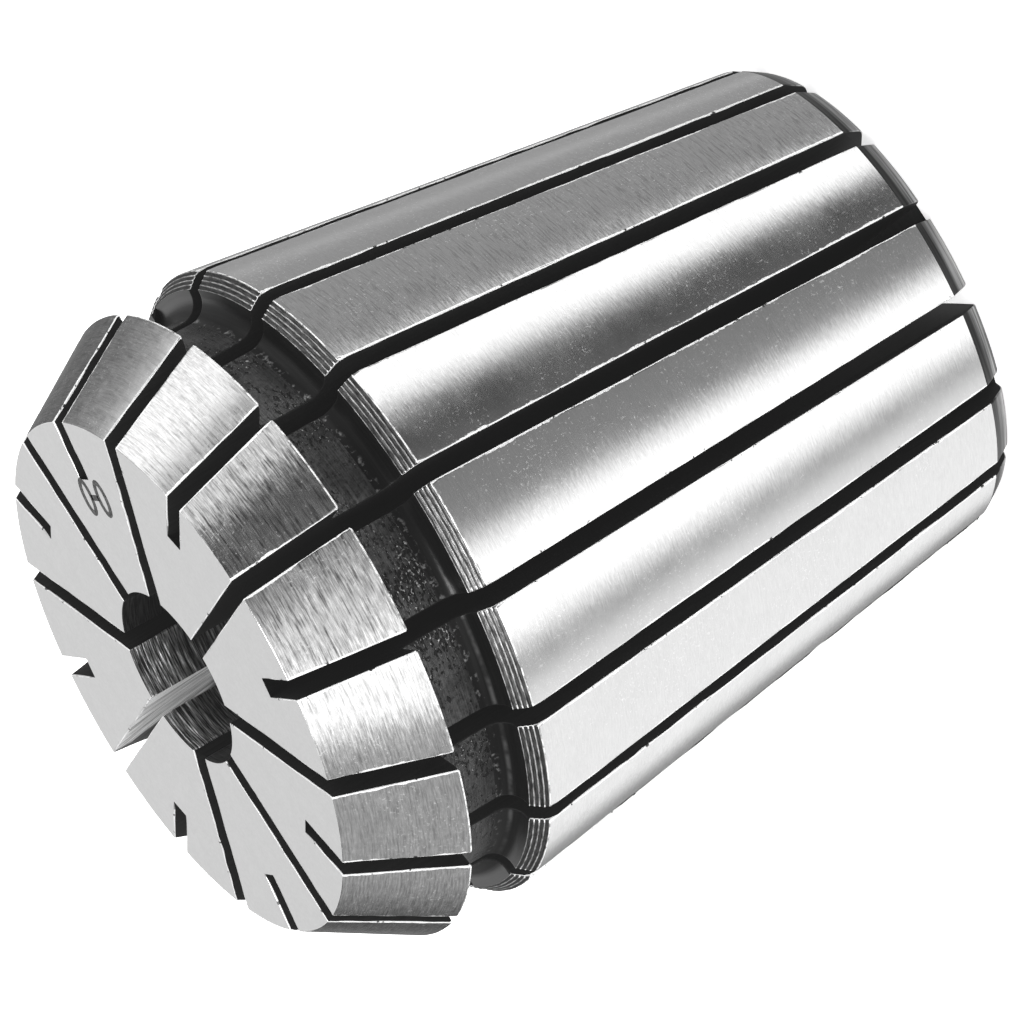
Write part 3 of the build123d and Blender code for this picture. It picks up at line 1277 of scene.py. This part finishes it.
def burnt_line():
    """Dull grey of an etched line, uneven like a hand-held tool's."""
    finish = Finish("burnt_line")
    uneven = finish.noise(finish.place(5.0), detail=2.0)
    finish.set(
        base_color=finish.grey(finish.remap(uneven, 0.35, 0.65, 0.02, 0.09)),
        metallic=0.3,
        roughness=0.7,
    )
    return finish.material


mark_mesh = size_mark()
mark_mesh.materials.append(burnt_line())
mark = bpy.data.objects.new("size_mark", mark_mesh)
SCENE.collection.objects.link(mark)
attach(mark, "root")
print("mark has", len(mark_mesh.polygons), "faces")

# %% [markdown]
# The floor is plain and white. Its colour to the camera is lifted to white by a light of its own that
# only camera rays see, so the shadow stays. The photographed collet lies on its side, so its lands mirror
# other surroundings than an upright collet's would. That is why the floor is hidden from mirror rays.

# %% Floor
FLOOR_SIZE = 3.0
FLOOR_GLOW = 0.7


def white_floor():
    """Diffuse white plus a glow for camera rays alone."""
    finish = Finish("white_floor")
    camera_ray = finish.node("ShaderNodeLightPath").outputs["Is Camera Ray"]
    finish.set(
        base_color=(0.9, 0.9, 0.9, 1),
        roughness=0.9,
        specular_ior_level=0.0,
        emission_color=(1, 1, 1, 1),
        emission_strength=finish.times(camera_ray, FLOOR_GLOW),
    )
    return finish.material


corners = np.array([(-1, -1, 0), (1, -1, 0), (1, 1, 0), (-1, 1, 0)]) * FLOOR_SIZE
floor_mesh = bpy.data.meshes.new("floor")
floor_mesh.from_pydata(corners, [], [(0, 1, 2, 3)])
floor_mesh.materials.append(white_floor())
floor = bpy.data.objects.new("floor", floor_mesh)
SCENE.collection.objects.link(floor)
floor.visible_glossy = False
print("floor", FLOOR_SIZE * 2, "m wide")

# %% [markdown]
# Polished steel has hardly any colour of its own: it shows what stands round it. So the world is a plain
# studio of even grey with soft boxes, and each box stands where a bright band on the lands calls for one.
# Lamps could do it too, but a box in the world is cheaper and can be faint with a wide soft border. The
# last box has a negative strength: it is a dark card, which takes light away where the lands are dark.
# Azimuths here and in the next step start at the front, which is minus Y, and grow towards plus X.

# %% Soft boxes of the studio
AMBIENT = 0.11
RISE = 12
BOXES = [
    # azimuth, half width, lowest and highest elevation, border (all in degrees), strength
    (122, 54, -90, 60, 40, 0.30),
    (-110, 60, -90, -18, 40, 0.36),
    (-100, 40, -14, 60, 40, 0.36),
    (-10, 20, -60, 0, 24, 0.22),
    (-39, 18, -90, -5, 18, 1.6),
    (-50, 13, 8, 60, 16, 1.35),
    (-26, 14, 8, 60, 20, 0.6),
    (-4, 12, 15, 60, 16, 0.2),
    (50.5, 11, -90, 5, 12, 1.75),
    (130, 3, -90, 0, 6, 0.18),
    (51, 7, 12, 60, 12, 0.95),
    (86, 16, 10, 50, 14, 1.1),
    (-115, 40, -60, -20, 20, 0.85),
    (170, 17, 8, 50, 14, 0.8),
    (0, 180, 55, 90, 20, 0.9),
    (145, 28, -16, 8, 30, -0.24),
]


class Sky(NodeTree):
    """The world's node tree, with the direction that a ray looks in."""

    def __init__(self):
        world = bpy.data.worlds.new("studio")
        world.use_nodes = True
        SCENE.world = world
        self.tree = world.node_tree
        self.shader = self.tree.nodes["Background"]
        direction = self.node("ShaderNodeTexCoord").outputs["Generated"]
        x, y, z = self.node("ShaderNodeSeparateXYZ", vector=direction).outputs[:3]
        self.azimuth = self.math("ARCTAN2", x, self.times(y, -1.0))
        self.elevation = self.math("ARCSINE", z)

    def soft_box(self, center, half_width, low, high, border, strength):
        """Lamp between two elevations round an azimuth, with smooth borders: three smooth steps multiplied.
        The one round the azimuth is a step of the cosine, so it has no seam at half a turn."""
        blur = math.radians(border)
        half_width = math.radians(half_width)
        facing = self.math("COSINE", self.minus(self.azimuth, math.radians(center)))
        outer = math.cos(min(math.pi, half_width + blur / 2))
        inner = math.cos(max(0.01, half_width - blur / 2))
        across = self.remap(facing, outer, inner, 0.0, 1.0, smooth=True)
        low, high = math.radians(low), math.radians(high)
        half_rise = math.radians(RISE) / 2
        above = self.remap(self.elevation, low - half_rise, low + half_rise, 0.0, 1.0, smooth=True)
        below = self.remap(self.elevation, high - half_rise, high + half_rise, 1.0, 0.0, smooth=True)
        return self.times(self.times(self.times(across, above), below), strength)


sky = Sky()
light = AMBIENT
for box in BOXES:
    light = sky.plus(sky.soft_box(*box), light)
camera_ray = sky.node("ShaderNodeLightPath").outputs["Is Camera Ray"]
sky.set(color=sky.grey(sky.math("MAXIMUM", light, camera_ray)))
print("soft boxes:", len(BOXES))

# %% [markdown]
# One soft key light over the camera's left shoulder picks out the rough edges, which mirror nothing, and
# throws the collet's shadow. It is a sun, because only its direction and the width of its disc matter.

# %% Key light
KEY_AZIMUTH = -41
KEY_ELEVATION = 72
KEY_STRENGTH = 2.6
KEY_WIDTH = 24


def key_light():
    """Wide sun that shines from its azimuth and elevation onto the collet."""
    data = bpy.data.lights.new("key", "SUN")
    data.energy = KEY_STRENGTH
    data.angle = math.radians(KEY_WIDTH)
    lamp = bpy.data.objects.new("key", data)
    azimuth, elevation = math.radians(KEY_AZIMUTH), math.radians(KEY_ELEVATION)
    level = math.cos(elevation)
    toward = Vector((math.sin(azimuth) * level, -math.cos(azimuth) * level, math.sin(elevation)))
    lamp.matrix_world = toward.to_track_quat("Z", "Y").to_matrix().to_4x4()
    SCENE.collection.objects.link(lamp)
    return lamp


print("lamps:", [key_light().name])
